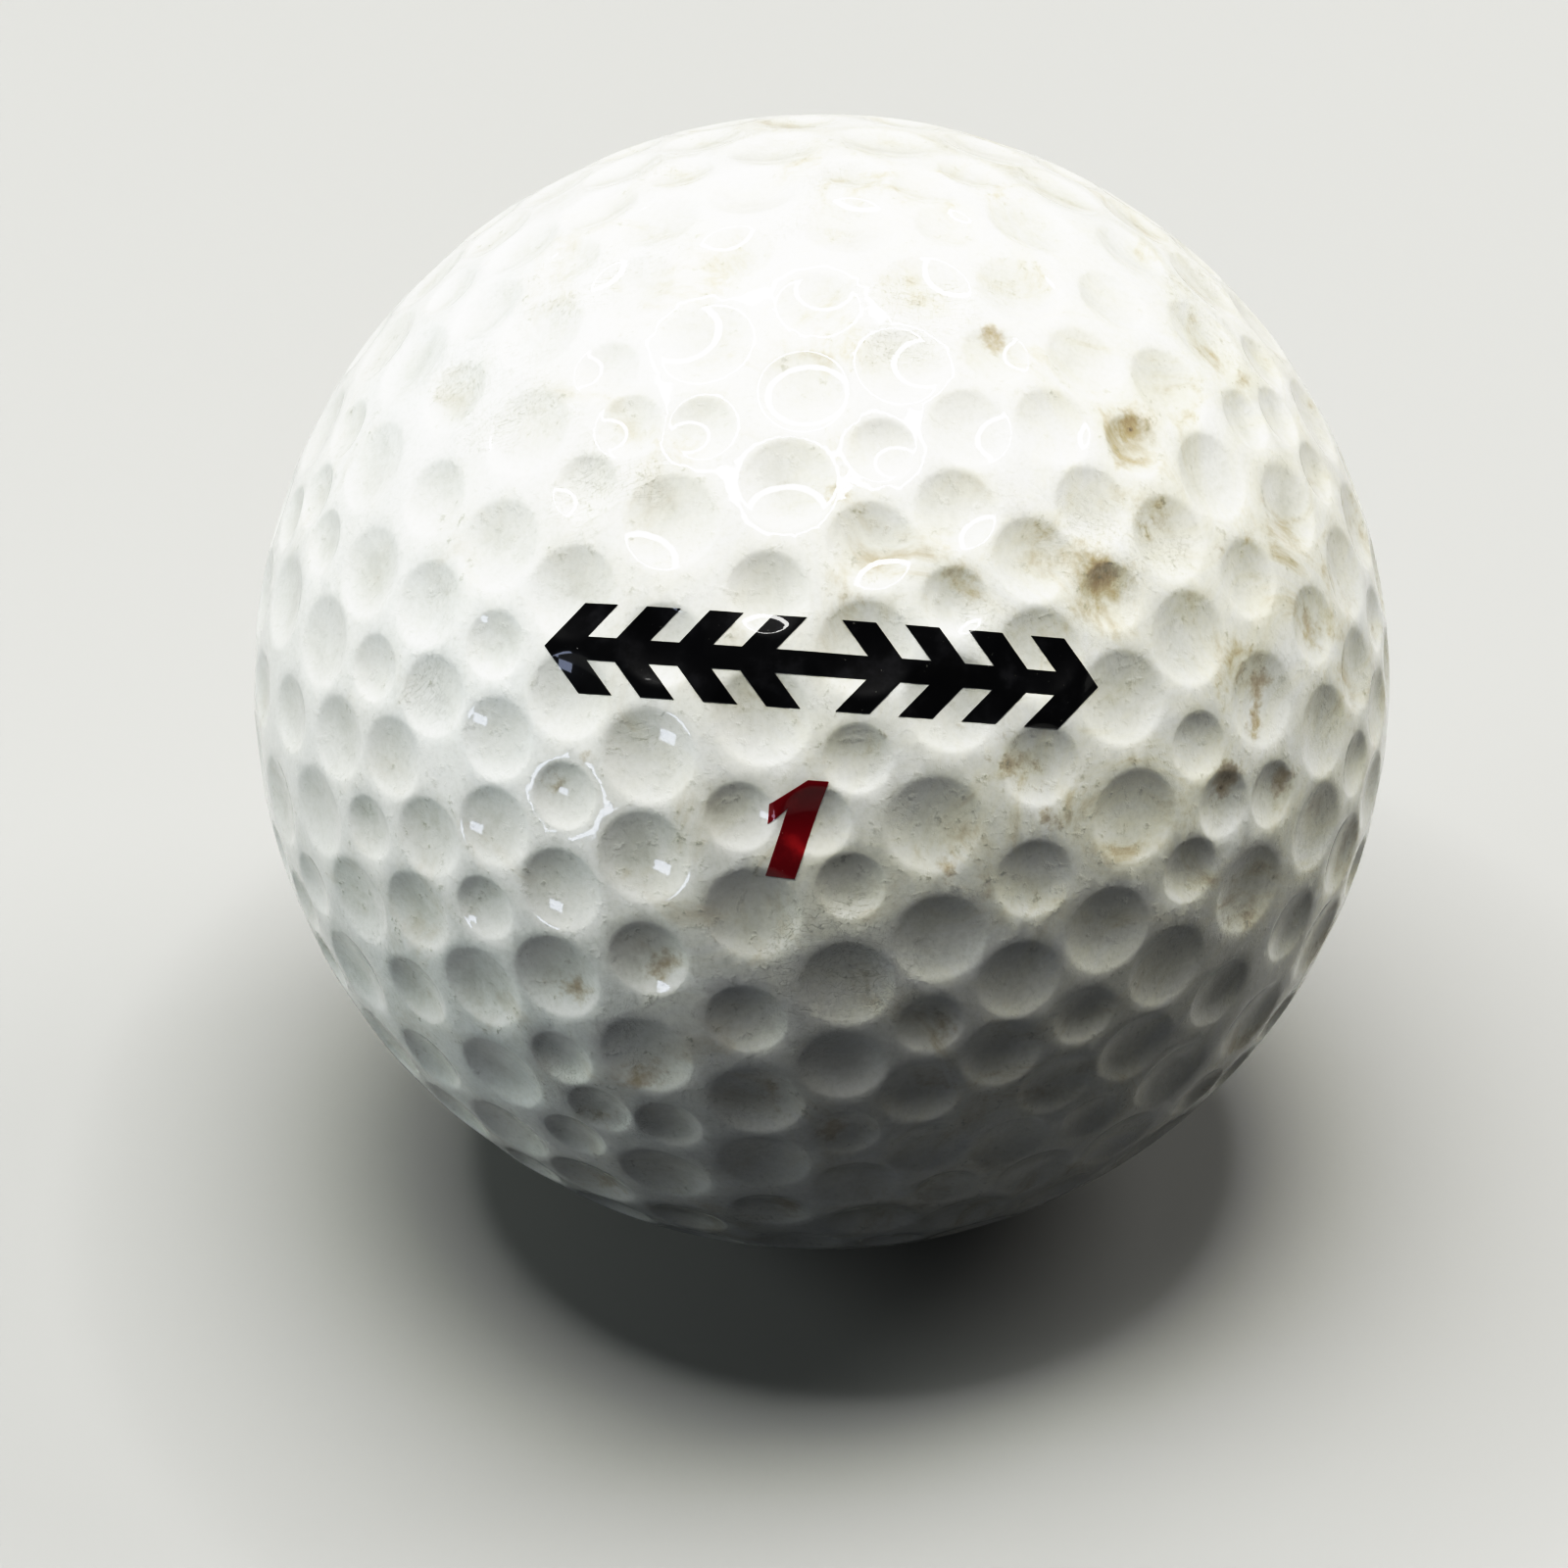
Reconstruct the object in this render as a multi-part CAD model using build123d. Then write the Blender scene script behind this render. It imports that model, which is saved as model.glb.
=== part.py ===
from build123d import *
from build123d.topology import SkipClean
from math import acos, asin, cos, degrees, radians, sin, sqrt
from itertools import combinations, product
import os

# Two-piece golf ball: solid rubber core, dimpled ionomer cover and pad-printed marks.
#
# Millimetres. The origin is the centre of the ball and +Z is up. The printed side faces -Y,
# raised above the horizon, and the lowest point of the ball is at Z = -BALL_DIAMETER / 2.

# Ball
BALL_DIAMETER = 42.67
CORE_DIAMETER = 38.9
BALL_RADIUS = BALL_DIAMETER / 2

# Dimple layout: the edges of an icosahedron, joined at their middles, divide the ball into
# 12 five-sided and 20 three-sided fields. No dimple crosses the six great circles between them.
# Each ring is (count, angle from the field's centre, turn about it, dimple rim angle), in degrees.
# A turn of 0 points at a neighbouring centre in a five-sided field, and at a corner of the
# icosahedron in a three-sided one.
LARGE = 9.2
MEDIUM = 8.2
SMALL = 6.6
FIVE_SIDED_RINGS = [
    (5, 7.2, 0.0, MEDIUM - 0.2),
    (5, 13.4, 36.0, SMALL),
    (5, 15.9, 0.0, MEDIUM + 0.2),
    (5, 22.0, 36.0 - 12.9, LARGE - 0.1),
    (5, 22.0, 36.0 + 12.9, LARGE - 0.1),
    (5, 26.3, 0.0, MEDIUM - 0.4),
]
THREE_SIDED_RINGS = [
    (1, 0.0, 0.0, SMALL),
    (3, 7.0, 0.0, SMALL),
    (3, 10.8, 60.0, LARGE + 0.1),
]
PATTERN_TURN = Location((0, 0, 0), (2.4, 30.1, -13.3))

# Dimple section: a spherical bowl that runs a little past the ball's surface
DIMPLE_DEPTH = 0.31  # below the ball's full sphere, at the bowl's centre
DEPTH_PER_DEGREE = 0.012  # added for each degree that the rim is wider than a medium dimple
TOOL_OVERSHOOT = 0.03

# Print
INK_THICKNESS = 0.02
MARK_ELEVATION = 36.7  # direction of the alignment mark's centre above the horizon
PRINT_SLOPE = 4.0  # the printed lines run down to the right
MARK_LENGTH = 19.0
MARK_HEIGHT = 3.1
SPINE_WIDTH = 0.8
CHEVRON_STROKE = 1.15
CHEVRON_SWEEP = 1.3
CHEVRON_PITCH = 2.15
CHEVRONS_PER_END = 4
NUMBER_DROP = 15.4  # angle of the number's centre below the mark's centre
NUMBER_SHIFT = -0.8
NUMBER_HEIGHT = 3.5
NUMBER_STEM = 1.0
NUMBER_FLAG = 0.95
NUMBER_LEAN = 0.9


def along(direction, pole, turn):
    """Rotates a direction about a pole by a turn in degrees."""
    return direction.rotate(Axis((0, 0, 0), pole), turn)


def ring(pole, reference, count, angle, turn):
    """Directions at one angle from a pole, evenly spaced, the first at a turn from the reference."""
    hinge = pole.cross(reference).normalized()
    first = pole.rotate(Axis((0, 0, 0), hinge), angle)
    return [along(first, pole, turn + 360 / count * i) for i in range(count)]


def icosahedron_corners():
    """The twelve corner directions of an icosahedron."""
    golden = (1 + sqrt(5)) / 2
    corners = []
    for one, other in product((1, -1), (golden, -golden)):
        corners += [(0, one, other), (one, other, 0), (other, 0, one)]
    return [Vector(*corner).normalized() for corner in corners]


def neighbours(first, second):
    """True if two corners of the icosahedron share an edge."""
    return abs(first.dot(second) - 1 / sqrt(5)) < 0.01


def turned(direction):
    """A direction of the pattern after the pattern's own turn."""
    return (PATTERN_TURN * Location(direction)).position


def dimple_layout():
    """Every dimple of the ball as (direction, rim angle)."""
    corners = icosahedron_corners()
    layout = []
    for corner in corners:
        reference = next(c for c in corners if neighbours(corner, c))
        for count, angle, turn, rim in FIVE_SIDED_RINGS:
            layout += [(d, rim) for d in ring(corner, reference, count, angle, turn)]
    for trio in combinations(corners, 3):
        if all(neighbours(a, b) for a, b in combinations(trio, 2)):
            centre = (trio[0] + trio[1] + trio[2]).normalized()
            for count, angle, turn, rim in THREE_SIDED_RINGS:
                layout += [(d, rim) for d in ring(centre, trio[0], count, angle, turn)]
    return [(turned(direction), rim) for direction, rim in layout]


def dimple_tool(rim):
    """The solid that cuts one dimple at the top of the ball."""
    rim_radius = BALL_RADIUS * sin(radians(rim / 2))
    rim_height = BALL_RADIUS * cos(radians(rim / 2))
    depth = DIMPLE_DEPTH + DEPTH_PER_DEGREE * (rim - MEDIUM)
    bowl_depth = depth - (BALL_RADIUS - rim_height)
    bowl_radius = (rim_radius**2 + bowl_depth**2) / (2 * bowl_depth)
    bowl_centre = rim_height - bowl_depth + bowl_radius
    edge_radius = rim_radius + TOOL_OVERSHOOT
    edge_height = bowl_centre - sqrt(bowl_radius**2 - edge_radius**2)
    half_angle = asin(edge_radius / bowl_radius) / 2
    middle = (bowl_radius * sin(half_angle), bowl_centre - bowl_radius * cos(half_angle))
    bottom = (0, bowl_centre - bowl_radius)
    top = BALL_RADIUS + TOOL_OVERSHOOT
    with BuildPart() as tool:
        with BuildSketch(Plane.XZ):
            with BuildLine():
                ThreePointArc(bottom, middle, (edge_radius, edge_height))
                Polyline((edge_radius, edge_height), (edge_radius, top), (0, top), bottom)
            make_face()
        revolve(axis=Axis.Z)
    return tool.part


def cover_blank():
    """The cover with no dimples, in eight parts so that no one face carries every dimple."""
    core = Solid.make_sphere(CORE_DIAMETER / 2)
    upper = Solid.make_sphere(BALL_RADIUS, angle1=0, angle2=90, angle3=90).cut(core)
    lower = Solid.make_sphere(BALL_RADIUS, angle1=-90, angle2=0, angle3=90).cut(core)
    eighths = [half.rotate(Axis.Z, 90 * i) for half in (upper, lower) for i in range(4)]
    with SkipClean():
        return eighths[0].fuse(*eighths[1:]).moved(PATTERN_TURN)


def with_dimples(blank, layout):
    """A blank with the given dimples cut into it."""
    tools = {rim: dimple_tool(rim) for rim in {rim for _, rim in layout}}
    cutters = [tools[rim].moved(Plane((0, 0, 0), z_dir=d).location) for d, rim in layout]
    with SkipClean():
        return blank.cut(*cutters)


def print_plane(elevation, slope, azimuth=0):
    """A plane through the ball's centre that faces a printed place, with X along its baseline."""
    outward = Vector(0, -cos(radians(elevation)), sin(radians(elevation)))
    baseline = Vector(1, 0, 0).rotate(Axis((0, 0, 0), outward), -slope)
    outward = outward.rotate(Axis.Z, azimuth)
    baseline = baseline.rotate(Axis.Z, azimuth)
    return Plane((0, 0, 0), x_dir=baseline, z_dir=outward)


def alignment_outline():
    """Two-ended arrow: a spine with swept chevrons at each end."""
    half_length = MARK_LENGTH / 2
    half_height = MARK_HEIGHT / 2
    outline = Rectangle(MARK_LENGTH - 2 * CHEVRON_STROKE, SPINE_WIDTH)
    for side in (-1, 1):
        for i in range(CHEVRONS_PER_END):
            tip = half_length - i * CHEVRON_PITCH
            points = [
                (tip, 0),
                (tip - CHEVRON_SWEEP, half_height),
                (tip - CHEVRON_SWEEP - CHEVRON_STROKE, half_height),
                (tip - CHEVRON_STROKE, 0),
                (tip - CHEVRON_SWEEP - CHEVRON_STROKE, -half_height),
                (tip - CHEVRON_SWEEP, -half_height),
            ]
            outline += make_face(Polyline(*[(side * x, y) for x, y in points], close=True))
    return outline


def number_outline():
    """Plain figure one: a leaning stem with a flag and no foot."""
    bottom = -NUMBER_HEIGHT / 2
    top = NUMBER_HEIGHT / 2
    half_stem = NUMBER_STEM / 2
    lean = NUMBER_LEAN / 2
    points = [
        (-lean - half_stem, bottom),
        (-lean + half_stem, bottom),
        (lean + half_stem, top),
        (lean - half_stem * 0.4, top),
        (lean - half_stem - NUMBER_FLAG, top - NUMBER_FLAG),
        (lean - half_stem - NUMBER_FLAG, top - NUMBER_FLAG * 1.75),
        (lean * 0.3 - half_stem, top - NUMBER_FLAG * 1.1),
    ]
    return make_face(Polyline(*points, close=True))


def ink_film(plane, outline, layout):
    """A thin film of ink that follows the dimpled surface under an outline."""
    reach = 45
    near = [(d, rim) for d, rim in layout if degrees(acos(d.dot(plane.z_dir))) < reach]
    surface = with_dimples(Solid.make_sphere(BALL_RADIUS), near)
    film_top = scale(surface, by=1 + INK_THICKNESS / BALL_RADIUS)
    start = plane.offset(BALL_RADIUS * 0.7)
    column = extrude(start.location * outline, BALL_RADIUS * 0.4)
    return (column & film_top) - surface


def main():
    layout = dimple_layout()
    core = Solid.make_sphere(CORE_DIAMETER / 2)
    parts = {"core": core, "cover": with_dimples(cover_blank(), layout)}
    number_elevation = MARK_ELEVATION - NUMBER_DROP
    for side, azimuth in (("front", 0), ("back", 180)):
        mark_plane = print_plane(MARK_ELEVATION, PRINT_SLOPE, azimuth)
        number_plane = print_plane(number_elevation, PRINT_SLOPE, azimuth)
        figure = Location((NUMBER_SHIFT, 0, 0)) * number_outline()
        parts[f"{side}_alignment_mark"] = ink_film(mark_plane, alignment_outline(), layout)
        parts[f"{side}_play_number"] = ink_film(number_plane, figure, layout)
    os.makedirs("parts", exist_ok=True)
    for name, solid in parts.items():
        solid.label = name
        export_step(solid, f"parts/{name}.step")
        print(name, len(solid.solids()), "solid", round(solid.volume, 3), "mm3")


if __name__ == "__main__":
    main()
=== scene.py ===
"""A used two-piece golf ball on a pale floor, seen from the front and above.

Shapes are worked out in millimetres, with the ball's centre as the origin, and become metres
only when a mesh is made.
"""
from itertools import combinations, product
from math import cos, pi, radians, sin, sqrt

import bmesh
import bpy
import numpy as np
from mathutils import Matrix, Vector
from mathutils.geometry import delaunay_2d_cdt


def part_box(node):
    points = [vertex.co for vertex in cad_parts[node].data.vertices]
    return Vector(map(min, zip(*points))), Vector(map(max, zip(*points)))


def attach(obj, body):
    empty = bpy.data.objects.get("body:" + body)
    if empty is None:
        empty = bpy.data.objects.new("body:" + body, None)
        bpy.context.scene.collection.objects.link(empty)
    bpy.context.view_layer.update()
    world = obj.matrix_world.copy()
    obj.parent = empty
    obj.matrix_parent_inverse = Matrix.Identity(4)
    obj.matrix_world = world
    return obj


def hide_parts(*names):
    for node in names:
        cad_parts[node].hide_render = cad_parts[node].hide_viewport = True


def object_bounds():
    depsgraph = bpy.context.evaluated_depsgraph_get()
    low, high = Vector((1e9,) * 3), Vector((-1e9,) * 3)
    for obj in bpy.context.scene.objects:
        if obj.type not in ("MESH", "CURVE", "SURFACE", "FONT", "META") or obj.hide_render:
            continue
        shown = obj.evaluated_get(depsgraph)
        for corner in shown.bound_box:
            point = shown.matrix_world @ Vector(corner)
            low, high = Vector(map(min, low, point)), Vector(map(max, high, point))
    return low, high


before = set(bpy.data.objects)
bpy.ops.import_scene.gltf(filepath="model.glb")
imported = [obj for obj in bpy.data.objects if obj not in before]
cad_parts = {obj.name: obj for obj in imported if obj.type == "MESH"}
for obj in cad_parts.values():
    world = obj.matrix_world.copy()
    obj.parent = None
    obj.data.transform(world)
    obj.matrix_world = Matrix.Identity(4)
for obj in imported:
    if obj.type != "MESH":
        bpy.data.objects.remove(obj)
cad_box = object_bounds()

MM = 0.001

# ---------------------------------------------------------------- driving dimensions

BALL_RADIUS = (cad_box[1].x - cad_box[0].x) / 2 / MM
CORE_RADIUS = (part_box("core")[1].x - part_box("core")[0].x) / 2 / MM

# Dimple layout, as in the CAD: rings of (count, angle from the field's centre, turn about it,
# rim angle), in degrees, round the 12 corners and 20 face centres of an icosahedron.
LARGE = 9.2
MEDIUM = 8.2
SMALL = 6.6
FIVE_SIDED_RINGS = [
    (5, 7.2, 0.0, MEDIUM - 0.2),
    (5, 13.4, 36.0, SMALL),
    (5, 15.9, 0.0, MEDIUM + 0.2),
    (5, 22.0, 36.0 - 12.9, LARGE - 0.1),
    (5, 22.0, 36.0 + 12.9, LARGE - 0.1),
    (5, 26.3, 0.0, MEDIUM - 0.4),
]
THREE_SIDED_RINGS = [
    (1, 0.0, 0.0, SMALL),
    (3, 7.0, 0.0, SMALL),
    (3, 10.8, 60.0, LARGE + 0.1),
]
PATTERN_TURN = (2.4, 30.1, -13.3)  # about X, Y and Z, with Z first

DIMPLE_DEPTH = 0.31
DEPTH_PER_DEGREE = 0.012
RIM_BLEND = 0.055  # how far the paint rounds each rim, measured down the radius
BOWLS_NEAR = 3  # bowls that can reach one point of the surface
BATCH = 8192  # directions worked out at a time
SLOPE_STEP = 0.0012  # radians to each side of a point, for its normal
NEAR_POLE = 0.9  # a direction with more height than this needs X as its helper, not Z

# Cover mesh
RIM_SEGMENTS = 28
BOWL_RINGS = (0.45, 0.8)  # shares of the rim's own angle
RIM_RINGS = (-0.45, -0.2, -0.02, 0.13)  # degrees from the rim
LAND_POINTS = 24000
LAND_MARGIN = 0.4  # degrees from a rim to the nearest point on the land
LAND_MERGE = 1e-7  # points nearer than this on the flat map are one
CORE_SUBDIVISIONS = 5

# Print, as in the CAD
INK_THICKNESS = 0.02
INK_STEP = 0.14  # side of the ink mesh's triangles
INK_ROW = 0.9  # distance between their rows, as a share of the side
INK_UNDERSIDE = 0.1  # height of the film's underside, as a share of its thickness
INK_MERGE = 1e-5  # points nearer than this are one
INK_SETTLING = 6  # rounds that bring the flat print down onto the dimples
MARK_ELEVATION = 36.7
PRINT_SLOPE = 4.0
MARK_LENGTH = 19.0
MARK_HEIGHT = 3.1
SPINE_WIDTH = 0.8
CHEVRON_STROKE = 1.15
CHEVRON_SWEEP = 1.3
CHEVRON_PITCH = 2.15
CHEVRONS_PER_END = 4
NUMBER_DROP = 15.4
NUMBER_SHIFT = -0.8
NUMBER_HEIGHT = 3.5
NUMBER_STEM = 1.0
NUMBER_FLAG = 0.95
NUMBER_LEAN = 0.9
FLAG_SHOULDER = 0.4  # where the flag leaves the stem's top, as a share of half the stem
FLAG_TIP = 1.75  # depth of the flag's lower corner, in flags
FLAG_ROOT = 1.1  # depth at which the flag meets the stem, in flags
LEAN_AT_ROOT = 0.3  # share of half the lean at that depth

# Camera: where it stands, its lens in millimetres, and how far the ball's centre falls from
# the middle of the frame, as shares of the frame's width
CAMERA_ELEVATION = 35.0
CAMERA_DISTANCE = 9.59 * BALL_RADIUS * MM
SENSOR = 36.0
FOCAL_LENGTH = 124.3575
CENTRE_RIGHT = 0.023375
CENTRE_UP = 0.064625
NEAR_CLIP = 0.01

# Light: places and sizes in metres, powers in watts. Every lamp faces the ball.
WARM = (1.0, 0.995, 0.965)
GREENISH = (0.93, 1.0, 0.98)
COOL = (0.72, 0.80, 1.0)
RING_PLACE = (-0.050, 0.048, 0.546)
RING_RADIUS = 0.222
RING_WIDTH = 0.036
RING_STRENGTH = 24.0
RING_SEGMENTS = 96
WINDOW_DIRECTION = (-0.68, -0.725, -0.01)
WINDOW_DISTANCE = 0.6
WINDOW_SIZE = 0.115
WINDOW_POWER = 0.36
FILL_COLOUR = (0.92, 0.97, 1.0, 1)
FILL_STRENGTH = 0.025
BACKDROP_COLOUR = (0.66, 0.66, 0.64, 1)
FLOOR_COLOUR = (0.42, 0.42, 0.41, 1)
FLOOR_ROUGHNESS = 0.8
FLOOR_HALF_WIDTH = 0.5
SOFTBOXES = [
    # name, place, size, power, colour
    ("overhead_softbox", (0.0, -0.03, 0.75), 0.5, 2.9, WARM),
    ("left_softbox", (-0.5, 0.0, 0.13), 0.3, 1.2, GREENISH),
    ("right_softbox", (0.36, 0.16, 0.36), 0.3, 1.2, WARM),
]

# The tone curve: scene light, and the tone it is shown with
TONE_WHITE = 1.6
TONES = [
    (0.05, 0.020),
    (0.116, 0.062),
    (0.167, 0.108),
    (0.234, 0.176),
    (0.274, 0.232),
    (0.445, 0.500),
    (0.663, 0.745),
    (0.80, 0.858),
    (0.92, 0.922),
    (1.10, 0.966),
    (1.35, 0.988),
]


# ---------------------------------------------------------------- dimple layout


def unit(vectors):
    """Vectors scaled to length one."""
    return vectors / np.linalg.norm(vectors, axis=-1, keepdims=True)


def turn(vector, axis, degrees):
    """A vector turned about an axis by the right-hand rule."""
    angle = radians(degrees)
    across = np.cross(axis, vector)
    return vector * cos(angle) + across * sin(angle) + axis * (axis @ vector) * (1 - cos(angle))


def ring(pole, reference, count, angle, start):
    """Directions at one angle from a pole, evenly spaced round it."""
    first = turn(pole, unit(np.cross(pole, reference)), angle)
    return [turn(first, pole, start + 360 / count * i) for i in range(count)]


def dimple_layout():
    """The axis of every dimple, and the angle that its rim spans."""
    golden = (1 + sqrt(5)) / 2
    corners = []
    for one, other in product((1, -1), (golden, -golden)):
        corners += [(0, one, other), (one, other, 0), (other, 0, one)]
    corners = unit(np.array(corners, float))
    neighbour = 1 / sqrt(5)  # the cosine between neighbouring corners
    joined = np.isclose(corners @ corners.T, neighbour)
    axes, rims = [], []
    for index, corner in enumerate(corners):
        reference = corners[np.argmax(joined[index])]
        for count, angle, start, rim in FIVE_SIDED_RINGS:
            axes += ring(corner, reference, count, angle, start)
            rims += [rim] * count
    for a, b, c in combinations(range(len(corners)), 3):
        if joined[a, b] and joined[b, c] and joined[a, c]:
            centre = unit(corners[a] + corners[b] + corners[c])
            for count, angle, start, rim in THREE_SIDED_RINGS:
                axes += ring(centre, corners[a], count, angle, start)
                rims += [rim] * count
    turned = np.array(axes)
    for axis, degrees in reversed(list(zip(np.eye(3), PATTERN_TURN))):
        turned = np.array([turn(vector, axis, degrees) for vector in turned])
    return turned, np.array(rims)


AXES, RIMS = dimple_layout()


def bowl_spheres():
    """Radius of the sphere that makes each bowl, and its centre's distance from the ball's."""
    half = np.radians(RIMS / 2)
    rim_radius = BALL_RADIUS * np.sin(half)
    rim_height = BALL_RADIUS * np.cos(half)
    depth = DIMPLE_DEPTH + DEPTH_PER_DEGREE * (RIMS - MEDIUM)
    bowl_depth = depth - (BALL_RADIUS - rim_height)
    bowl_radius = (rim_radius**2 + bowl_depth**2) / (2 * bowl_depth)
    return bowl_radius, rim_height - bowl_depth + bowl_radius


BOWL_RADIUS, BOWL_CENTRE = bowl_spheres()


# ---------------------------------------------------------------- dimpled surface


def smooth_min(a, b, width):
    """The smaller of two values, rounded where they cross within a width of each other."""
    overlap = np.maximum(width - np.abs(a - b), 0) / width
    return np.minimum(a, b) - overlap**2 * width / 4


def surface_radius(directions):
    """Distance from the ball's centre to the cover's surface along each direction."""
    result = np.full(len(directions), BALL_RADIUS)
    for start in range(0, len(directions), BATCH):
        part = slice(start, start + BATCH)
        cosines = directions[part] @ AXES.T
        nearest = np.argpartition(-cosines, BOWLS_NEAR, axis=1)[:, :BOWLS_NEAR]
        for column in nearest.T:
            along = np.take_along_axis(cosines, column[:, None], 1)[:, 0]
            centre = BOWL_CENTRE[column]
            reach = BOWL_RADIUS[column] ** 2 - centre**2 * (1 - along**2)
            bowl = centre * along - np.sqrt(np.maximum(reach, 0))
            bowl = np.where((reach > 0) & (along > 0), bowl, 2 * BALL_RADIUS)
            result[part] = smooth_min(result[part], bowl, RIM_BLEND)
    return result


def surface_normals(directions):
    """Unit normals of the cover's surface, from its slope over a very short step."""
    helper = np.where(np.abs(directions[:, 2:]) < NEAR_POLE, (0, 0, 1.0), (1.0, 0, 0))
    east = unit(np.cross(helper, directions))
    north = np.cross(directions, east)

    def point(offset):
        aimed = unit(directions + offset)
        return aimed * surface_radius(aimed)[:, None]

    across = point(east * SLOPE_STEP) - point(-east * SLOPE_STEP)
    upward = point(north * SLOPE_STEP) - point(-north * SLOPE_STEP)
    return unit(np.cross(across, upward))


def side_axes(axis):
    """Two unit vectors square to an axis and to each other."""
    helper = np.array((0, 0, 1.0)) if abs(axis[2]) < NEAR_POLE else np.array((1.0, 0, 0))
    first = unit(np.cross(helper, axis))
    return first, np.cross(axis, first)


def circle(axis, angle, count):
    """Directions on a circle round an axis, at an angle from it."""
    first, second = side_axes(axis)
    turns = np.arange(count) * 2 * pi / count
    level = np.cos(turns)[:, None] * first + np.sin(turns)[:, None] * second
    return axis * cos(angle) + level * sin(angle)


def land_directions():
    """Evenly spread directions that stay clear of every dimple's rim."""
    index = np.arange(LAND_POINTS) + 0.5
    height = 1 - 2 * index / LAND_POINTS
    angle = pi * (1 + sqrt(5)) * index
    level = np.sqrt(1 - height**2)
    spread = np.stack([level * np.cos(angle), level * np.sin(angle), height], 1)
    keep = np.ones(LAND_POINTS, bool)
    for axis, rim in zip(AXES, RIMS):
        keep &= spread @ axis < cos(radians(rim / 2 + LAND_MARGIN))
    return spread[keep]


def land_triangles(points, owner):
    """Triangles between the dimples. Seen from the first dimple's axis, a stereographic map
    turns the sphere into a flat disc, where a flat triangulation is the sphere's own."""
    first, second = side_axes(AXES[0])
    away = 1 - points @ AXES[0]
    flat = np.stack([points @ first, points @ second], 1) / away[:, None]
    result = delaunay_2d_cdt([Vector(p) for p in flat], [], [], 0, LAND_MERGE)
    source = [group[0] for group in result[3]]
    triangles = np.array([[source[i] for i in face] for face in result[2]])
    a, b, c = owner[triangles].T
    triangles = triangles[~((a == b) & (b == c) & (a >= 0))]
    corner = points[triangles]
    facing = np.einsum(
        "ij,ij->i", np.cross(corner[:, 1] - corner[:, 0], corner[:, 2] - corner[:, 0]), corner[:, 0]
    )
    triangles[facing < 0] = triangles[facing < 0][:, ::-1]
    return triangles


def dimpled_mesh():
    """Directions, triangles and each vertex's dimple (-1 on the land) of the cover's surface."""
    outer = np.concatenate(
        [circle(a, radians(r / 2 + RIM_RINGS[-1]), RIM_SEGMENTS) for a, r in zip(AXES, RIMS)]
    )
    land = land_directions()
    points = np.concatenate([outer, land])
    owner = np.concatenate([np.repeat(np.arange(len(AXES)), RIM_SEGMENTS), np.full(len(land), -1)])
    triangles = [land_triangles(points, owner)]
    vertices, owners, total = [points], [owner], len(points)
    steps = np.arange(RIM_SEGMENTS)
    after = (steps + 1) % RIM_SEGMENTS
    for number, (axis, rim) in enumerate(zip(AXES, RIMS)):
        outside = number * RIM_SEGMENTS
        angles = [rim / 2 * share for share in BOWL_RINGS]
        angles += [rim / 2 + offset for offset in RIM_RINGS[:-1]]
        for angle in reversed(angles):
            vertices.append(circle(axis, radians(angle), RIM_SEGMENTS))
            triangles.append(np.stack([total + steps, outside + steps, outside + after], 1))
            triangles.append(np.stack([total + steps, outside + after, total + after], 1))
            outside = total
            total += RIM_SEGMENTS
        vertices.append(axis[None])
        centre = np.full(RIM_SEGMENTS, total)
        triangles.append(np.stack([centre, outside + steps, outside + after], 1))
        total += 1
        owners.append(np.full(RIM_SEGMENTS * len(angles) + 1, number))
    return np.concatenate(vertices), np.concatenate(triangles), np.concatenate(owners)


# ---------------------------------------------------------------- mesh helpers


def make_piece(name, points, triangles, normals, material, node):
    """A piece of the ball from points in millimetres, with its own smooth normals."""
    mesh = bpy.data.meshes.new(name)
    mesh.from_pydata((points * MM).tolist(), [], triangles.tolist())
    mesh.polygons.foreach_set("use_smooth", [True] * len(mesh.polygons))
    mesh.update()
    mesh.normals_split_custom_set_from_vertices(normals.tolist())
    mesh.materials.append(material)
    piece = bpy.data.objects.new(name, mesh)
    bpy.context.scene.collection.objects.link(piece)
    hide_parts(node)
    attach(piece, "root")
    return piece


def paint(piece, name, values):
    """Stores one number at each vertex for the material to read."""
    attribute = piece.data.attributes.new(name, "FLOAT", "POINT")
    attribute.data.foreach_set("value", np.asarray(values, np.float32))


# ---------------------------------------------------------------- node helpers


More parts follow.
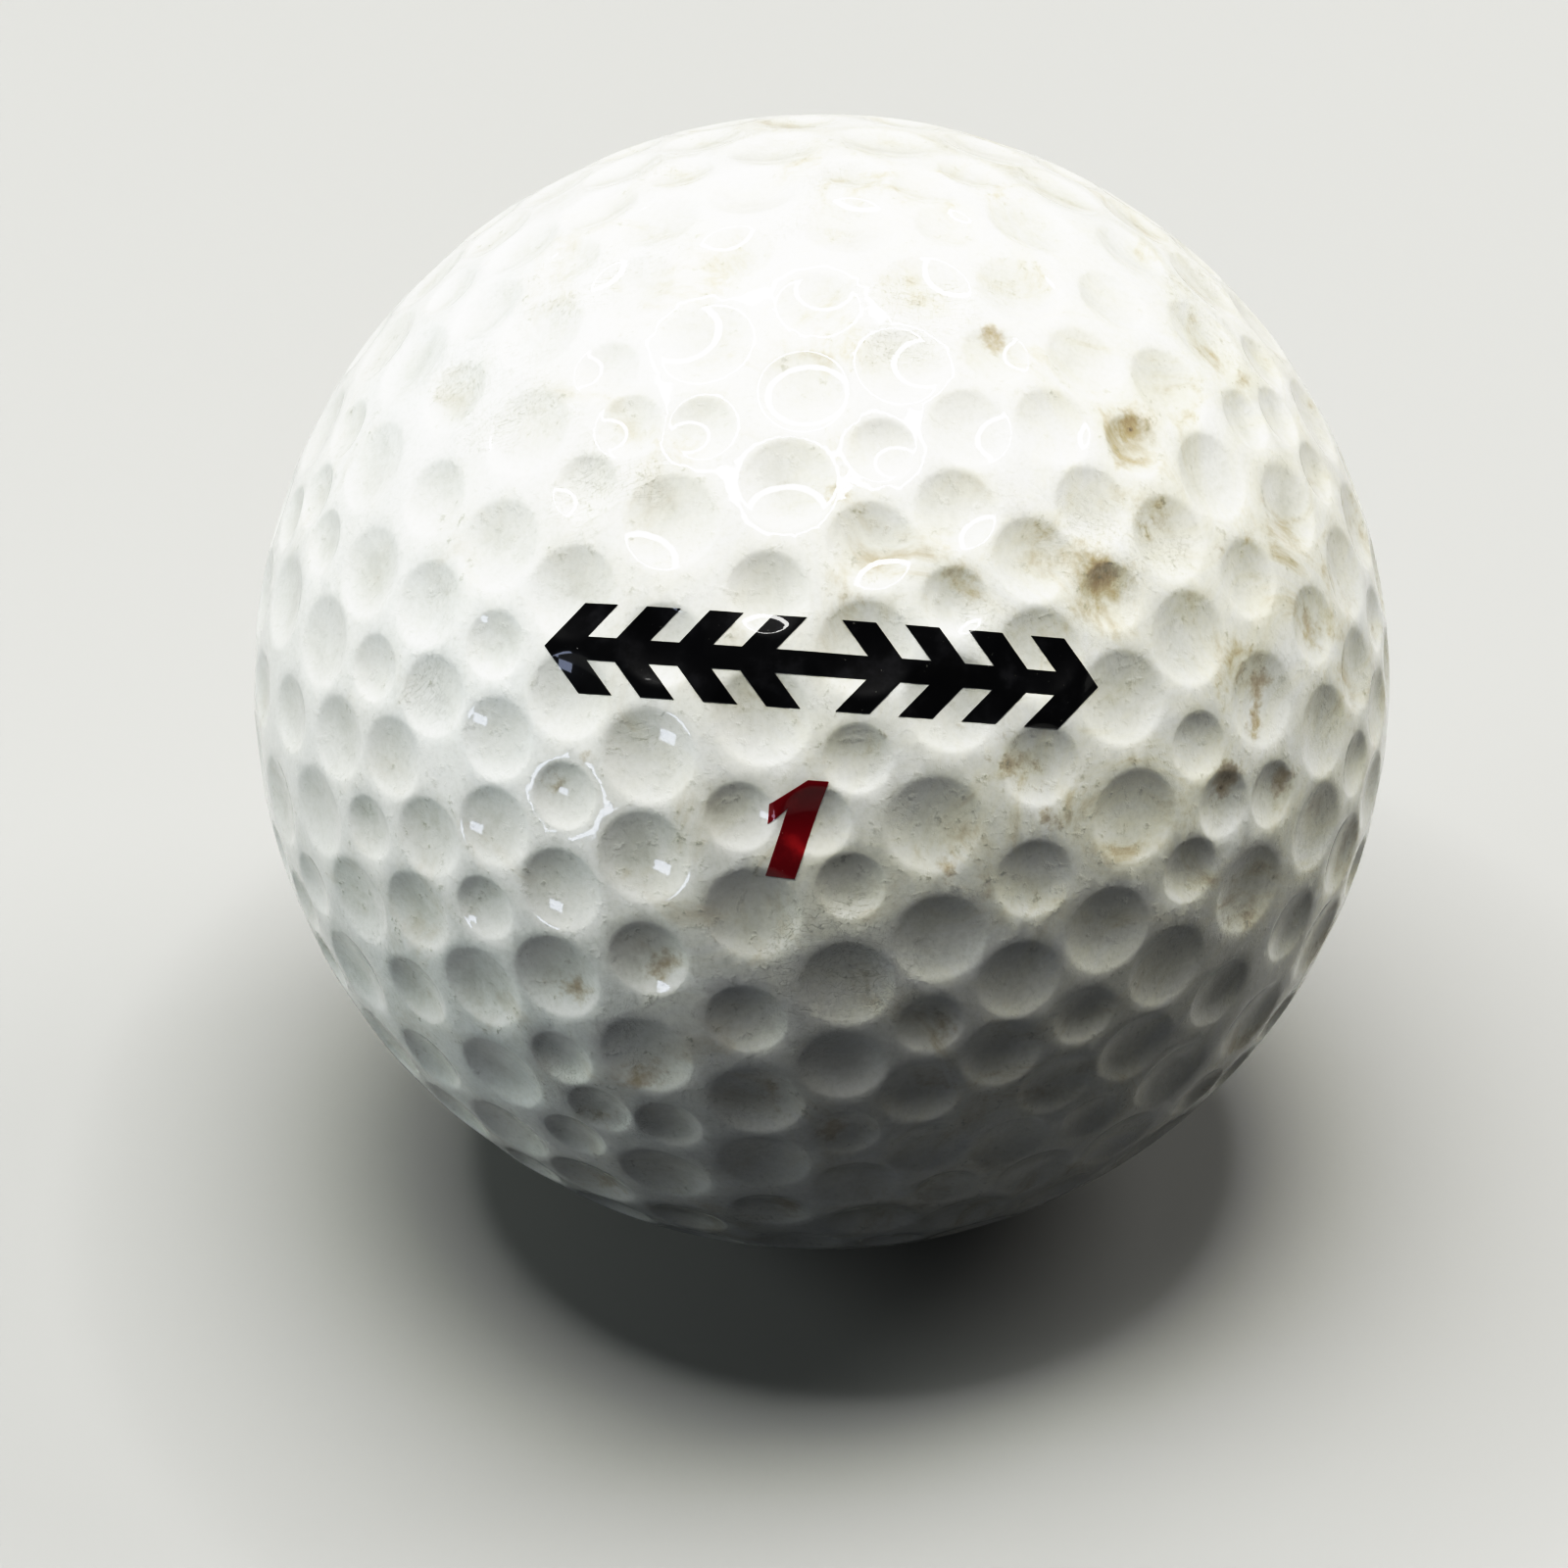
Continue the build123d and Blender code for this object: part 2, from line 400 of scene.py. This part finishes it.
class Nodes:
    """A material's node tree, with short calls for the nodes used here."""

    def __init__(self, name):
        self.material = bpy.data.materials.new(name)
        self.material.use_nodes = True
        self.tree = self.material.node_tree
        self.shader = self.tree.nodes["Principled BSDF"]
        self.place = self.tree.nodes.new("ShaderNodeTexCoord").outputs["Object"]

    def link(self, source, socket):
        """Puts a node's output, or a constant, into a socket."""
        if isinstance(source, bpy.types.NodeSocket):
            self.tree.links.new(source, socket)
        else:
            socket.default_value = source

    def noise(self, scale, detail=4.0, roughness=0.55, stretch=(1, 1, 1), distortion=0.0):
        """Noise in object space. Scale is in features per metre."""
        mapping = self.tree.nodes.new("ShaderNodeMapping")
        mapping.inputs["Scale"].default_value = stretch
        self.link(self.place, mapping.inputs["Vector"])
        node = self.tree.nodes.new("ShaderNodeTexNoise")
        node.inputs["Scale"].default_value = scale
        node.inputs["Detail"].default_value = detail
        node.inputs["Roughness"].default_value = roughness
        node.inputs["Distortion"].default_value = distortion
        self.link(mapping.outputs["Vector"], node.inputs["Vector"])
        return node.outputs["Fac"]

    def ramp(self, source, low, high, start=0.0, end=1.0):
        """Maps low..high to start..end, smoothly and clamped."""
        node = self.tree.nodes.new("ShaderNodeMapRange")
        node.interpolation_type = "SMOOTHSTEP"
        node.inputs["From Min"].default_value = low
        node.inputs["From Max"].default_value = high
        node.inputs["To Min"].default_value = start
        node.inputs["To Max"].default_value = end
        self.link(source, node.inputs["Value"])
        return node.outputs["Result"]

    def math(self, operation, a, b=0.0):
        """One arithmetic node."""
        node = self.tree.nodes.new("ShaderNodeMath")
        node.operation = operation
        self.link(a, node.inputs[0])
        self.link(b, node.inputs[1])
        return node.outputs["Value"]

    def mix(self, share, a, b):
        """Colour a, with a share of colour b."""
        node = self.tree.nodes.new("ShaderNodeMix")
        node.data_type = "RGBA"
        self.link(share, node.inputs["Factor"])
        self.link(a, node.inputs["A"])
        self.link(b, node.inputs["B"])
        return node.outputs["Result"]

    def attribute(self, name):
        """A number that the mesh carries."""
        node = self.tree.nodes.new("ShaderNodeAttribute")
        node.attribute_name = name
        return node.outputs["Fac"]

    def bump(self, height, distance, below=None):
        """A bump of a real height in metres, on top of another."""
        node = self.tree.nodes.new("ShaderNodeBump")
        node.inputs["Strength"].default_value = 1.0
        node.inputs["Distance"].default_value = distance
        self.link(height, node.inputs["Height"])
        if below is not None:
            self.link(below, node.inputs["Normal"])
        return node.outputs["Normal"]

    def colour(self, source):
        """The shader's base colour."""
        self.link(source, self.shader.inputs["Base Color"])

    def set(self, **values):
        """Sets or links the shader's sockets by name, with _ for a space."""
        for name, value in values.items():
            self.link(value, self.shader.inputs[name.replace("_", " ")])


def clear_coat(nodes, weight, roughness):
    """The clear coat over paint and print."""
    nodes.shader.inputs["Coat Weight"].default_value = weight
    nodes.shader.inputs["Coat Roughness"].default_value = roughness
    nodes.shader.inputs["Coat IOR"].default_value = COAT_IOR


# ---------------------------------------------------------------- materials

IVORY = (0.80, 0.80, 0.775, 1)
COOL_WHITE = (0.83, 0.845, 0.83, 1)
YELLOWED = (0.79, 0.77, 0.61, 1)
# Grey of dirt, also painted over the dimples' bowls as shade
GRIME_AND_SHADE = (0.36, 0.36, 0.30, 1)
BROWN_STAIN = (0.40, 0.32, 0.20, 1)
BROWN_CRUST = (0.115, 0.075, 0.040, 1)
BLACK_INK = (0.004, 0.004, 0.005, 1)
BLACK_INK_WORN = (0.018, 0.018, 0.021, 1)
RED_INK = (0.22, 0.003, 0.010, 1)
RED_INK_WORN = (0.33, 0.012, 0.018, 1)
CORE_BLUE = (0.20, 0.31, 0.38, 1)
CORE_PALE = (0.33, 0.43, 0.47, 1)

# Bump heights in metres
PAINT_RIPPLE = 0.000012
PAINT_PITS = 0.000012
SCRATCH_DEPTH = 0.000008
INK_RIPPLE = 0.000006
RUBBER_GRAIN = 0.00004

COAT_IOR = 1.5


def scratches(nodes):
    """Fine hair scratches that run two ways across the ball."""
    one = nodes.noise(900, 2, 0.5, stretch=(1, 9, 2))
    two = nodes.noise(800, 2, 0.5, stretch=(7, 1, 6))
    lines = nodes.math(
        "ADD",
        nodes.ramp(nodes.math("ABSOLUTE", nodes.math("SUBTRACT", one, 0.5)), 0.0, 0.012, 1.0, 0.0),
        nodes.ramp(nodes.math("ABSOLUTE", nodes.math("SUBTRACT", two, 0.5)), 0.0, 0.010, 1.0, 0.0),
    )
    patches = nodes.ramp(nodes.noise(160, 3), 0.52, 0.66)
    return nodes.math("MULTIPLY", lines, patches)


def cover_material():
    """Glossy off-white paint and clear coat: yellowed, scuffed and dirty, with painted shade as
    well as grime darkening its dimples.
    """
    nodes = Nodes("cover_gloss_ivory")
    bowl = nodes.attribute("bowl")
    dirt = nodes.attribute("dirt")
    aged = nodes.attribute("aged")
    broad = nodes.noise(70, 3, 0.5)
    cloudy = nodes.noise(420, 6, 0.62, distortion=0.6)
    smudge = nodes.noise(190, 7, 0.68, distortion=1.2)
    fine = nodes.noise(2600, 5, 0.6)
    grain = nodes.noise(5200, 4, 0.65)

    colour = nodes.mix(nodes.ramp(broad, 0.38, 0.66), IVORY, COOL_WHITE)
    yellow = nodes.math("MULTIPLY", aged, nodes.ramp(smudge, 0.32, 0.66, 0.15, 1.0))
    colour = nodes.mix(yellow, colour, YELLOWED)
    # Painted shade, partly real grime: a grey film darkens the dimples' bowls, more where they are
    # deeper, and so deepens their shading.
    film = nodes.math("MULTIPLY", bowl, nodes.ramp(cloudy, 0.35, 0.70, 0.13, 0.44))
    colour = nodes.mix(film, colour, GRIME_AND_SHADE)
    worn = nodes.math("MULTIPLY", nodes.ramp(smudge, 0.50, 0.70), nodes.ramp(cloudy, 0.40, 0.62))
    used = nodes.math("MULTIPLY", worn, nodes.ramp(aged, 0.1, 0.8, 0.22, 1.0))
    colour = nodes.mix(used, colour, BROWN_STAIN)
    coarse_rag = nodes.math("MULTIPLY", cloudy, 1.5)
    fine_rag = nodes.math("MULTIPLY", fine, 0.9)
    ragged = nodes.math("ADD", coarse_rag, fine_rag)
    soiled = nodes.math("ADD", dirt, nodes.math("SUBTRACT", ragged, 1.2))
    colour = nodes.mix(nodes.ramp(soiled, 0.28, 0.85, 0.0, 0.80), colour, BROWN_STAIN)
    specks = nodes.math("MULTIPLY", nodes.ramp(fine, 0.60, 0.70), nodes.ramp(smudge, 0.44, 0.60))
    colour = nodes.mix(nodes.math("MULTIPLY", specks, 0.55), colour, GRIME_AND_SHADE)
    colour = nodes.mix(nodes.ramp(grain, 0.35, 0.70, 0.0, 0.14), colour, GRIME_AND_SHADE)
    crust = nodes.ramp(soiled, 0.85, 1.20, 0.0, 0.9)
    colour = nodes.mix(crust, colour, BROWN_CRUST)
    lines = scratches(nodes)
    colour = nodes.mix(nodes.math("MULTIPLY", lines, 0.25), colour, GRIME_AND_SHADE)
    nodes.colour(colour)

    rough = nodes.ramp(cloudy, 0.35, 0.75, 0.42, 0.58)
    rough = nodes.math("ADD", rough, nodes.math("MULTIPLY", crust, 0.3))
    nodes.set(Roughness=nodes.math("ADD", rough, nodes.math("MULTIPLY", lines, 0.15)))
    ripple = nodes.bump(nodes.noise(700, 2, 0.4), PAINT_RIPPLE)
    pits = nodes.bump(nodes.ramp(fine, 0.50, 0.80), PAINT_PITS, below=ripple)
    scored = nodes.bump(nodes.math("MULTIPLY", lines, -1.0), SCRATCH_DEPTH, below=pits)
    nodes.set(Normal=scored, Coat_Normal=ripple)
    nodes.set(Specular_IOR_Level=0.25)
    clear_coat(nodes, 0.9, 0.045)
    return nodes.material


def ink_material(name, full, worn):
    """Pad-printed ink under clear coat, thin in places and with pinholes."""
    nodes = Nodes(name)
    cloudy = nodes.noise(900, 5, 0.6)
    pinholes = nodes.ramp(nodes.noise(5200, 3, 0.6), 0.70, 0.76)
    colour = nodes.mix(nodes.ramp(cloudy, 0.50, 0.72), full, worn)
    colour = nodes.mix(nodes.math("MULTIPLY", pinholes, 0.55), colour, GRIME_AND_SHADE)
    nodes.colour(colour)
    nodes.set(Roughness=nodes.ramp(cloudy, 0.3, 0.7, 0.32, 0.5))
    nodes.set(Normal=nodes.bump(nodes.noise(1800, 3, 0.5), INK_RIPPLE))
    nodes.set(Specular_IOR_Level=0.2)
    clear_coat(nodes, 0.7, 0.04)
    return nodes.material


def core_material():
    """Moulded rubber with paler filler grains and a faint grinding texture."""
    nodes = Nodes("core_rubber")
    grains = nodes.ramp(nodes.noise(1500, 4, 0.7), 0.56, 0.66)
    mottled = nodes.ramp(nodes.noise(180, 4), 0.35, 0.7)
    colour = nodes.mix(nodes.math("MULTIPLY", mottled, 0.5), CORE_BLUE, CORE_PALE)
    nodes.colour(nodes.mix(nodes.math("MULTIPLY", grains, 0.6), colour, CORE_PALE))
    nodes.set(Roughness=nodes.ramp(mottled, 0.0, 1.0, 0.62, 0.8))
    ground = nodes.noise(700, 3, 0.5, stretch=(1, 1, 8))
    nodes.set(Normal=nodes.bump(ground, RUBBER_GRAIN))
    return nodes.material


# ---------------------------------------------------------------- dirt and wear

# Where dirt clings, as (degrees right of the front, degrees up, spread in degrees, amount)
DIRT_PLACES = [
    (53, 51, 1.9, 0.75),
    (47, 42, 2.4, 0.50),
    (54, 37, 1.6, 0.55),
    (52, 23, 1.6, 1.20),
    (50, 20, 1.8, 0.80),
    (44, 17, 2.0, 1.10),
    (52, 13, 1.8, 0.80),
    (64, 24, 2.2, 0.55),
    (37, 40, 1.9, 0.28),
    (20, 26, 3.4, 0.50),
    (23, 20, 1.3, 0.70),
    (12, 17, 1.5, 0.45),
    (5, 43, 2.0, 0.35),
    (41, 65, 1.8, 0.70),
    (-24, 25, 0.8, 0.95),
    (-28, 22, 1.9, 0.65),
    (1, -13, 1.8, 0.95),
    (-18, -8, 2.0, 0.60),
    (150, 10, 2.4, 0.75),
    (-120, 35, 2.2, 0.80),
    (105, -20, 2.6, 0.70),
    (-160, -30, 2.2, 0.80),
    (-95, 5, 1.8, 0.65),
    (175, 48, 2.0, 0.60),
]
DIRT_SEED = 12
DIRTY_DIMPLE_SHARE = 0.12
DIRT_FADE = 0.6  # how much less dirt the cleanest of the dirty dimples holds
DIRT_AT_TOP = 0.3  # share of the dirt that a dirty dimple keeps at the top of the ball
CRESCENT_REACH = 0.35  # how far the dirt reaches past its dimple's middle, in rim radii
AGED_SIDE = (75, 30)  # degrees right of the front, and up
AGED_TOWARD_SIDE = 0.55
AGED_UNDERNEATH = 0.6
AGED_EVERYWHERE = 0.22
AGED_LEAST = 0.12
AGED_MOST = 0.75


def place_on_ball(azimuth, elevation):
    """The direction at an angle right of the front (-Y) and above the horizon."""
    level = cos(radians(elevation))
    return np.array(
        (sin(radians(azimuth)) * level, -cos(radians(azimuth)) * level, sin(radians(elevation)))
    )


def bowl_share(owners, radii):
    """How far down its dimple each vertex lies, from 0 on the land to 1 at the bottom."""
    deepest = DIMPLE_DEPTH + DEPTH_PER_DEGREE * (RIMS[owners] - MEDIUM)
    return np.where(owners >= 0, (BALL_RADIUS - radii) / deepest, 0).clip(0, 1)


def dirt_amount(directions, owners, share):
    """Dirt at each vertex: a crescent to one side of some dimples, and a few open places."""
    chance = np.random.default_rng(DIRT_SEED)
    amount = np.zeros(len(directions))
    for number, (axis, rim) in enumerate(zip(AXES, RIMS)):
        strength = chance.random() / DIRTY_DIMPLE_SHARE
        side = turn(side_axes(axis)[0], axis, 360 * chance.random())
        if strength > 1:
            continue
        mine = owners == number
        across = directions[mine] @ side / radians(rim / 2)
        cleaner_above = np.clip(1 - axis[2], DIRT_AT_TOP, 1)
        depth = (1 - DIRT_FADE * strength) * cleaner_above * share[mine]
        amount[mine] = depth * np.clip(CRESCENT_REACH + across, 0, 1)
    for azimuth, elevation, spread, strength in DIRT_PLACES:
        cosines = np.clip(directions @ place_on_ball(azimuth, elevation), -1, 1)
        angle = np.degrees(np.arccos(cosines))
        amount = np.maximum(amount, strength * np.exp(-((angle / spread) ** 2)))
    return amount


def aged_amount(directions):
    """Yellowing and wear: most on the right-hand side and underneath, a little everywhere."""
    toward_right = directions @ place_on_ball(*AGED_SIDE)
    underneath = np.clip(-directions[:, 2], 0, 1)
    aged = AGED_EVERYWHERE + AGED_TOWARD_SIDE * toward_right + AGED_UNDERNEATH * underneath
    return np.clip(aged, AGED_LEAST, AGED_MOST)


# ---------------------------------------------------------------- cover and core


def inner_wall(offset):
    """The cover's inside, which the core fills: points, triangles and inward normals."""
    shape = bmesh.new()
    bmesh.ops.create_icosphere(shape, subdivisions=CORE_SUBDIVISIONS, radius=CORE_RADIUS)
    points = np.array([v.co[:] for v in shape.verts])
    triangles = np.array([[v.index for v in reversed(f.verts)] for f in shape.faces])
    shape.free()
    return points, triangles + offset, -unit(points)


def make_cover():
    """The dimpled shell."""
    directions, triangles, owners = dimpled_mesh()
    radii = surface_radius(directions)
    inside, inside_triangles, inside_normals = inner_wall(len(directions))
    piece = make_piece(
        "dimpled_cover",
        np.concatenate([directions * radii[:, None], inside]),
        np.concatenate([triangles, inside_triangles]),
        np.concatenate([surface_normals(directions), inside_normals]),
        cover_material(),
        "cover",
    )
    share = bowl_share(owners, radii)
    blank = np.zeros(len(inside))
    paint(piece, "bowl", np.concatenate([share, blank]))
    paint(piece, "dirt", np.concatenate([dirt_amount(directions, owners, share), blank]))
    paint(piece, "aged", np.concatenate([aged_amount(directions), blank]))


# ---------------------------------------------------------------- print


def alignment_outlines():
    """Two-ended arrow, as overlapping polygons: a spine and swept chevrons at each end."""
    half_length = MARK_LENGTH / 2
    half_height = MARK_HEIGHT / 2
    end = half_length - CHEVRON_STROKE
    half_spine = SPINE_WIDTH / 2
    outlines = [[(-end, -half_spine), (end, -half_spine), (end, half_spine), (-end, half_spine)]]
    for side in (-1, 1):
        for i in range(CHEVRONS_PER_END):
            tip = half_length - i * CHEVRON_PITCH
            points = [
                (tip, 0),
                (tip - CHEVRON_SWEEP, half_height),
                (tip - CHEVRON_SWEEP - CHEVRON_STROKE, half_height),
                (tip - CHEVRON_STROKE, 0),
                (tip - CHEVRON_SWEEP - CHEVRON_STROKE, -half_height),
                (tip - CHEVRON_SWEEP, -half_height),
            ]
            outlines.append([(side * x, y) for x, y in points])
    return outlines


def number_outlines():
    """Plain figure one: a leaning stem with a flag and no foot."""
    bottom = -NUMBER_HEIGHT / 2
    top = NUMBER_HEIGHT / 2
    half_stem = NUMBER_STEM / 2
    lean = NUMBER_LEAN / 2
    points = [
        (-lean - half_stem, bottom),
        (-lean + half_stem, bottom),
        (lean + half_stem, top),
        (lean - half_stem * FLAG_SHOULDER, top),
        (lean - half_stem - NUMBER_FLAG, top - NUMBER_FLAG),
        (lean - half_stem - NUMBER_FLAG, top - NUMBER_FLAG * FLAG_TIP),
        (lean * LEAN_AT_ROOT - half_stem, top - NUMBER_FLAG * FLAG_ROOT),
    ]
    return [[(x + NUMBER_SHIFT, y) for x, y in points]]


def filled(outlines):
    """Points and triangles of a fine flat mesh inside some closed outlines."""
    points, edges = [], []
    for outline in outlines:
        first = len(points)
        for (x0, y0), (x1, y1) in zip(outline, outline[1:] + outline[:1]):
            count = max(1, round(np.hypot(x1 - x0, y1 - y0) / INK_STEP))
            steps = range(count)
            points += [(x0 + (x1 - x0) * i / count, y0 + (y1 - y0) * i / count) for i in steps]
        last = len(points)
        edges += [(i, i + 1 if i + 1 < last else first) for i in range(first, last)]
    low, high = np.min(points, 0), np.max(points, 0)
    columns = np.arange(low[0], high[0], INK_STEP)
    rows = np.arange(low[1], high[1], INK_STEP * INK_ROW)
    points += [(x + INK_STEP / 2 * (i % 2), y) for i, y in enumerate(rows) for x in columns]
    result = delaunay_2d_cdt([Vector(p) for p in points], edges, [], 1, INK_MERGE)
    flat = np.array([v[:] for v in result[0]])
    triangles = np.array([tuple(f) for f in result[2] if len(f) == 3])
    used = np.unique(triangles)
    renumber = np.full(len(flat), -1)
    renumber[used] = np.arange(len(used))
    return flat[used], renumber[triangles]


def border_edges(triangles):
    """Directed edges that belong to only one triangle."""
    edges = np.concatenate([triangles[:, [0, 1]], triangles[:, [1, 2]], triangles[:, [2, 0]]])
    known = set(map(tuple, edges.tolist()))
    return np.array([e for e in edges.tolist() if (e[1], e[0]) not in known])


def make_print(name, outlines, elevation, azimuth, material, slot):
    """A film of ink that lies on the dimpled surface and closes at its edges."""
    flat, triangles = filled(outlines)
    outward = place_on_ball(0, elevation)
    baseline = turn(np.array((1.0, 0, 0)), outward, -PRINT_SLOPE)
    upward = np.cross(outward, baseline)
    level = flat[:, :1] * baseline + flat[:, 1:] * upward
    radius = np.full(len(flat), BALL_RADIUS)
    for _ in range(INK_SETTLING):
        height = np.sqrt(radius**2 - (flat**2).sum(1))
        directions = unit(level + height[:, None] * outward)
        around = np.stack([turn(d, np.array((0, 0, 1.0)), azimuth) for d in directions])
        radius = surface_radius(around)
    normals = surface_normals(around)
    top = around * (radius + INK_THICKNESS)[:, None]
    bottom = around * (radius + INK_THICKNESS * INK_UNDERSIDE)[:, None]
    border = border_edges(triangles)
    count = len(flat)
    corner = top[triangles[0]]
    if np.cross(corner[1] - corner[0], corner[2] - corner[0]) @ corner[0] < 0:
        triangles, border = triangles[:, ::-1], border[:, ::-1]
    a, b = border.T
    faces = [triangles, triangles[:, ::-1] + count]
    faces += [np.stack([b, a, a + count], 1), np.stack([b, a + count, b + count], 1)]
    make_piece(
        f"{name}_print",
        np.concatenate([top, bottom]),
        np.concatenate(faces),
        np.concatenate([normals, -normals]),
        material,
        name,
    )


# ---------------------------------------------------------------- scene


def pale_floor():
    """A plain pale floor that the ball stands on."""
    half = FLOOR_HALF_WIDTH
    level = cad_box[0].z
    mesh = bpy.data.meshes.new("floor")
    corners = [(-half, -half), (half, -half), (half, half), (-half, half)]
    mesh.from_pydata([(x, y, level) for x, y in corners], [], [(0, 1, 2, 3)])
    nodes = Nodes("floor_pale")
    nodes.set(Base_Color=FLOOR_COLOUR, Roughness=FLOOR_ROUGHNESS)
    mesh.materials.append(nodes.material)
    floor = bpy.data.objects.new("floor", mesh)
    bpy.context.scene.collection.objects.link(floor)
    floor.visible_diffuse = False  # so that it doesn't brighten the ball's underside


def aim_at_ball(lamp, place):
    """Puts a lamp in its place, facing the ball."""
    lamp.location = place
    lamp.rotation_euler = (-Vector(place)).to_track_quat("-Z", "Y").to_euler()
    bpy.context.scene.collection.objects.link(lamp)


def area_light(name, place, size, power, colour, shape, mirrored):
    """A soft light that faces the ball. One that isn't mirrored makes no highlights."""
    light = bpy.data.lights.new(name, "AREA")
    light.shape = shape
    light.size = size
    light.energy = power
    light.color = colour
    lamp = bpy.data.objects.new(name, light)
    lamp.visible_glossy = mirrored
    aim_at_ball(lamp, place)


def ring_light():
    """A ring-shaped lamp that faces the ball."""
    count = RING_SEGMENTS
    turns = np.arange(count) * 2 * pi / count
    level = np.stack([np.cos(turns), np.sin(turns), np.zeros(count)], 1)
    points = np.concatenate(
        [level * (RING_RADIUS - RING_WIDTH / 2), level * (RING_RADIUS + RING_WIDTH / 2)]
    )
    faces = [(i, (i + 1) % count, (i + 1) % count + count, i + count) for i in range(count)]
    mesh = bpy.data.meshes.new("ring_light")
    mesh.from_pydata(points.tolist(), [], faces)
    material = bpy.data.materials.new("ring_light_glow")
    material.use_nodes = True
    shader = material.node_tree.nodes["Principled BSDF"]
    shader.inputs["Base Color"].default_value = (0, 0, 0, 1)
    shader.inputs["Emission Color"].default_value = (*WARM, 1)
    shader.inputs["Emission Strength"].default_value = RING_STRENGTH
    mesh.materials.append(material)
    lamp = bpy.data.objects.new("ring_light", mesh)
    lamp.visible_camera = False
    aim_at_ball(lamp, RING_PLACE)


def lighting():
    """A ring lamp and a softbox overhead, a soft light at each side, and a small window at the
    front left. The coat mirrors only the ring lamp and the window."""
    ring_light()
    for name, place, size, power, colour in SOFTBOXES:
        area_light(name, place, size, power, colour, "DISK", mirrored=False)
    window = Vector(WINDOW_DIRECTION).normalized() * WINDOW_DISTANCE
    area_light("window", window, WINDOW_SIZE, WINDOW_POWER, COOL, "SQUARE", mirrored=True)


def surroundings():
    """Weak fill light, and a pale backdrop that only the camera sees."""
    world = bpy.data.worlds.new("studio")
    world.use_nodes = True
    tree = world.node_tree
    fill = tree.nodes["Background"]
    fill.inputs["Color"].default_value = FILL_COLOUR
    fill.inputs["Strength"].default_value = FILL_STRENGTH
    backdrop = tree.nodes.new("ShaderNodeBackground")
    backdrop.inputs["Color"].default_value = BACKDROP_COLOUR
    backdrop.inputs["Strength"].default_value = 1.0
    rays = tree.nodes.new("ShaderNodeLightPath")
    choice = tree.nodes.new("ShaderNodeMixShader")
    tree.links.new(rays.outputs["Is Camera Ray"], choice.inputs[0])
    tree.links.new(fill.outputs["Background"], choice.inputs[1])
    tree.links.new(backdrop.outputs["Background"], choice.inputs[2])
    tree.links.new(choice.outputs["Shader"], tree.nodes["World Output"].inputs["Surface"])
    bpy.context.scene.world = world


def tone_curve(view):
    """A camera's tone curve: deep shadows, and highlights that roll off before they clip."""
    view.use_curve_mapping = True
    mapping = view.curve_mapping
    mapping.white_level = (TONE_WHITE, TONE_WHITE, TONE_WHITE)
    all_channels = mapping.curves[3]
    for light, shown in TONES:
        all_channels.points.new(light / TONE_WHITE, shown)
    mapping.update()


def camera():
    """The camera, aimed so that the ball's centre falls in its place in the frame."""
    elevation = radians(CAMERA_ELEVATION)
    back = Vector((0, -cos(elevation), sin(elevation)))
    right = Vector((1, 0, 0))
    up = back.cross(right)
    place = back * CAMERA_DISTANCE
    view_width = CAMERA_DISTANCE * SENSOR / FOCAL_LENGTH  # at the ball's distance
    aim = (right * CENTRE_RIGHT + up * CENTRE_UP) * -view_width
    data = bpy.data.cameras.new("camera")
    data.sensor_width = SENSOR
    data.lens = FOCAL_LENGTH
    data.clip_start = NEAR_CLIP
    eye = bpy.data.objects.new("camera", data)
    eye.location = place
    eye.rotation_euler = (aim - place).to_track_quat("-Z", "Y").to_euler()
    bpy.context.scene.collection.objects.link(eye)
    bpy.context.scene.camera = eye
    view = bpy.context.scene.view_settings
    view.view_transform = "Standard"
    tone_curve(view)


def main():
    """Builds the ball, its surroundings and the camera."""
    make_cover()
    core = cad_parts["core"]
    core.data.materials.clear()
    core.data.materials.append(core_material())
    black = ink_material("black_ink", BLACK_INK, BLACK_INK_WORN)
    red = ink_material("red_ink", RED_INK, RED_INK_WORN)
    for side, azimuth in (("front", 0), ("back", 180)):
        marks = (alignment_outlines(), MARK_ELEVATION, azimuth, black, "black_ink")
        make_print(f"{side}_alignment_mark", *marks)
        figure = (number_outlines(), MARK_ELEVATION - NUMBER_DROP, azimuth, red, "red_ink")
        make_print(f"{side}_play_number", *figure)
    pale_floor()
    lighting()
    surroundings()
    camera()


main()
